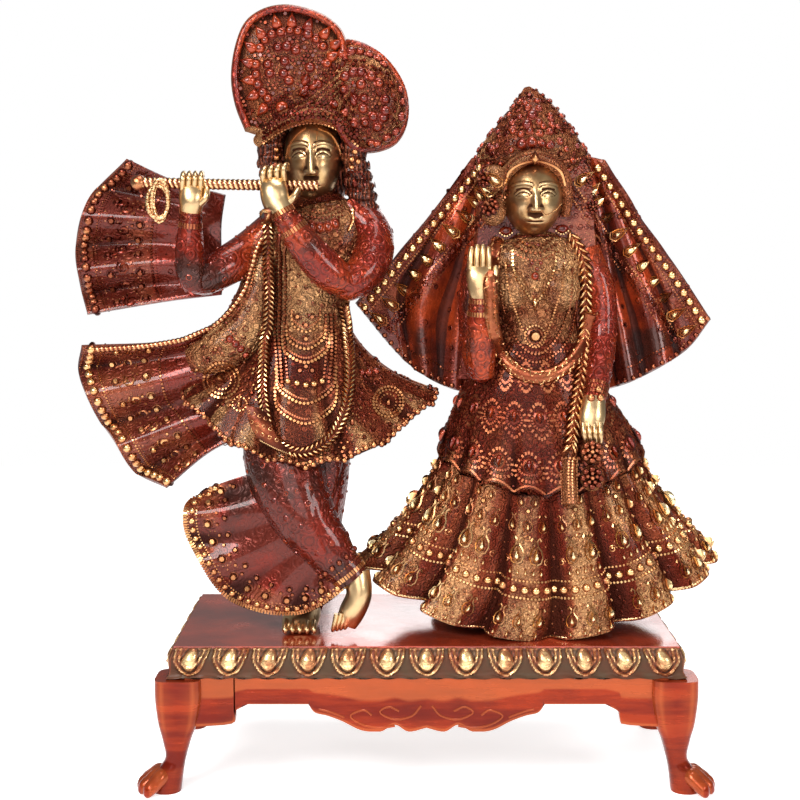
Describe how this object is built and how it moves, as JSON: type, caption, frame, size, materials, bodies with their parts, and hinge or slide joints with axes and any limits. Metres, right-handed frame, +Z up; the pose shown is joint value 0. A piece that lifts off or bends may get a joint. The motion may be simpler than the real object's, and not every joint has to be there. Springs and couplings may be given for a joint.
{
  "type": "radha krishna statue",
  "caption": "Cast brass group of a crowned flute player and his veiled companion on a low claw-footed stool, standing by its own weight.",
  "frame": {"origin": "on the surface it stands on, under the middle of its whole width and depth", "axes": "+Z up, +Y towards its back, +X towards the veiled figure, on the viewer's right"},
  "size_m": [0.5761, 0.2168, 0.6741],
  "materials": {
    "brown_brass": "reddish-brown patina with the raised work rubbed back to bright brass, and red lacquer on the plain cloth",
    "red_lacquer": "glossy orange-red lacquer over brass, dusty and dark in the moulding"
  },
  "bodies": {
    "root": {"krishna_with_flute": "brown_brass", "radha": "brown_brass", "stool": "red_lacquer"}
  },
  "joints": []
}
